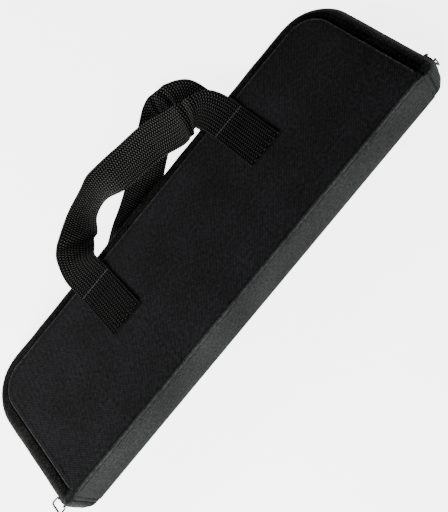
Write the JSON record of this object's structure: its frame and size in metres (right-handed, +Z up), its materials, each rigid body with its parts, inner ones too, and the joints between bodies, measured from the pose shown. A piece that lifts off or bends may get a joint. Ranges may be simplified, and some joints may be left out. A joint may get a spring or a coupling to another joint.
{
  "type": "folding music stand case",
  "caption": "Slim rectangular zippered carrying case for a folded music stand, semi-rigid fabric covers on a flat spine, with webbing carry handles.",
  "frame": {"origin": "centre of the back cover's outer face, the face the case lies on", "axes": "+X along the case's length, +Y from the spine to the handle side, +Z up through the front cover"},
  "size_m": [0.5261, 0.2579, 0.0501],
  "materials": {
    "cover_canvas": "matte woven polyester canvas, black",
    "spine_fabric": "smooth coated polyester, charcoal black",
    "foam": "closed-cell foam",
    "stiffener_board": "fibre board",
    "lining_fabric": "light plain-weave lining",
    "binding_tape": "ribbed binding tape",
    "gusset_fabric": "textured woven band, black",
    "zip_tape": "woven zip tape",
    "zip_coil": "nylon coil",
    "zip_metal": "black enamel",
    "webbing": "heavy polypropylene webbing, black",
    "pull_wire": "black coated wire"
  },
  "bodies": {
    "back_half": {"back_binding": "binding_tape", "back_board": "stiffener_board", "back_foam": "foam", "back_gusset": "gusset_fabric", "back_handle_patch_left": "webbing", "back_handle_patch_right": "webbing", "back_lining": "lining_fabric", "back_skin": "cover_canvas", "back_zip_stops": "zip_metal", "back_zip_tape": "zip_tape", "back_zip_teeth": "zip_coil"},
    "spine": {"back_crease_cord": "spine_fabric", "front_crease_cord": "spine_fabric", "spine_board": "stiffener_board", "spine_foam": "foam", "spine_lining": "lining_fabric", "spine_skin": "spine_fabric", "zip_end_tab_left": "spine_fabric", "zip_end_tab_right": "spine_fabric"},
    "front_cover": {"front_binding": "binding_tape", "front_board": "stiffener_board", "front_foam": "foam", "front_gusset": "gusset_fabric", "front_handle_patch_left": "webbing", "front_handle_patch_right": "webbing", "front_lining": "lining_fabric", "front_skin": "cover_canvas", "front_zip_stops": "zip_metal", "front_zip_tape": "zip_tape", "front_zip_teeth": "zip_coil"},
    "front_handle": {"front_handle": "webbing"},
    "back_handle": {"back_handle": "webbing"},
    "slider_left": {"slider_left": "zip_metal"},
    "slider_right": {"slider_right": "zip_metal"},
    "pull_left": {"pull_left": "pull_wire"},
    "pull_right": {"pull_right": "pull_wire"}
  },
  "joints": [
    {"name": "spine_fold", "type": "hinge", "parent": "back_half", "child": "spine", "pos_m": [0, -0.072, 0.0015], "axis": [1, 0, 0], "range_deg": [0, 90]},
    {"name": "cover_fold", "type": "hinge", "parent": "spine", "child": "front_cover", "pos_m": [0, -0.072, 0.0385], "axis": [1, 0, 0], "range_deg": [0, 110]},
    {"name": "front_handle_swing", "type": "hinge", "parent": "front_cover", "child": "front_handle", "pos_m": [0.005, 0.066, 0.04205], "axis": [1, 0, 0], "range_deg": [0, 170]},
    {"name": "back_handle_swing", "type": "hinge", "parent": "back_half", "child": "back_handle", "pos_m": [0.005, 0.066, -0.00015], "axis": [1, 0, 0], "range_deg": [-170, 0]},
    {"name": "slider_left_travel", "type": "slide", "parent": "back_half", "child": "slider_left", "axis": [0, 1, 0], "range_m": [0, 0.093]},
    {"name": "slider_right_travel", "type": "slide", "parent": "back_half", "child": "slider_right", "axis": [0, 1, 0], "range_m": [0, 0.093]},
    {"name": "pull_left_swing", "type": "hinge", "parent": "slider_left", "child": "pull_left", "pos_m": [-0.2581, -0.0555, 0.02], "axis": [0, 1, 0], "range_deg": [-90, 90]},
    {"name": "pull_right_swing", "type": "hinge", "parent": "slider_right", "child": "pull_right", "pos_m": [0.2581, -0.0555, 0.02], "axis": [0, 1, 0], "range_deg": [-180, 0]}
  ]
}
